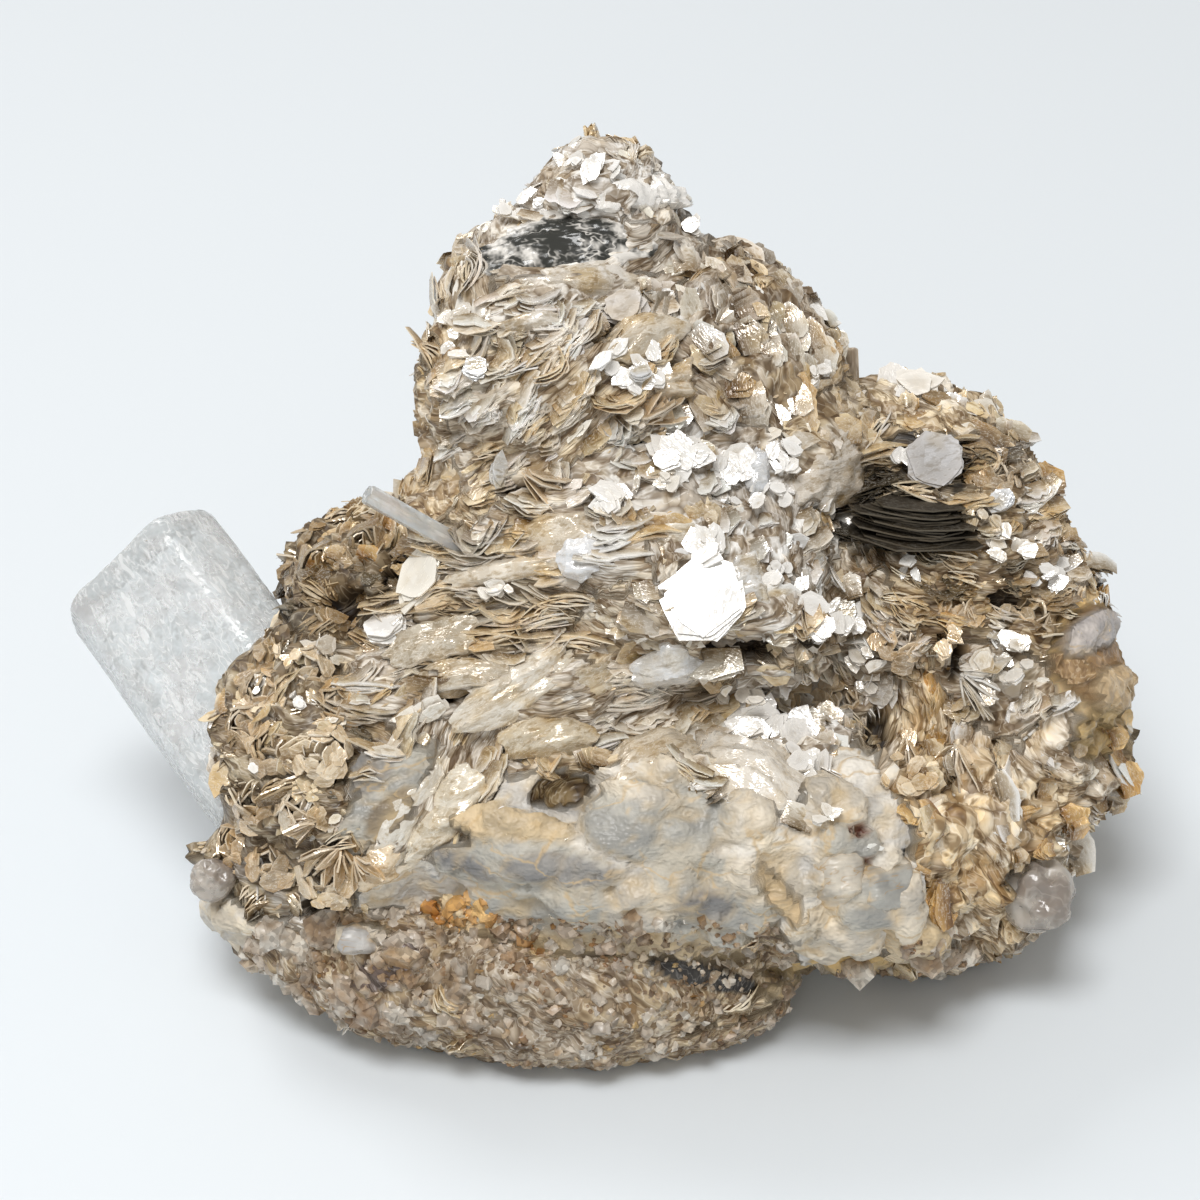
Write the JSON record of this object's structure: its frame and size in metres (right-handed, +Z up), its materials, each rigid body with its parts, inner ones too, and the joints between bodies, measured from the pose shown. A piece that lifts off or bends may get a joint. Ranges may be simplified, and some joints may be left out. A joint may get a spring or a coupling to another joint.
{
  "type": "aquamarine on albite specimen",
  "caption": "Mineral specimen: a pale blue six-sided beryl crystal leaning out of a rough rock of albite and layered mica, trimmed flat underneath to stand on a shelf.",
  "frame": {"origin": "on the flat trimmed base, below the middle of the specimen", "axes": "+Z up, +X to the right as seen from the front (the specimen's longest way), +Y towards its back"},
  "size_m": [0.1334, 0.0817, 0.0913],
  "materials": {
    "matrix": "rough albite and mica, cream, grey and tan with ochre stains",
    "aquamarine": "clear pale blue beryl with white veils and etched faces",
    "clear_beryl": "clear colourless beryl",
    "tan_prism": "satin tan crystal",
    "mica": "pearly, silvery sheets with tan edges",
    "quartz": "glassy grey quartz"
  },
  "bodies": {
    "root": {"matrix": "matrix", "aquamarine": "aquamarine", "beryl_prism": "clear_beryl", "tan_prism": "tan_prism", "bright_mica_plate": "mica", "grey_mica_plate": "mica", "smoky_mica_book": "mica", "fluted_mica_plate": "mica", "sail_mica_plate": "mica", "left_mica_book": "mica", "hexagonal_mica_plate": "mica", "dark_mica_book": "mica", "lobe_top_mica_book": "mica", "right_quartz_lump": "quartz", "left_quartz_lump": "quartz"}
  },
  "joints": []
}
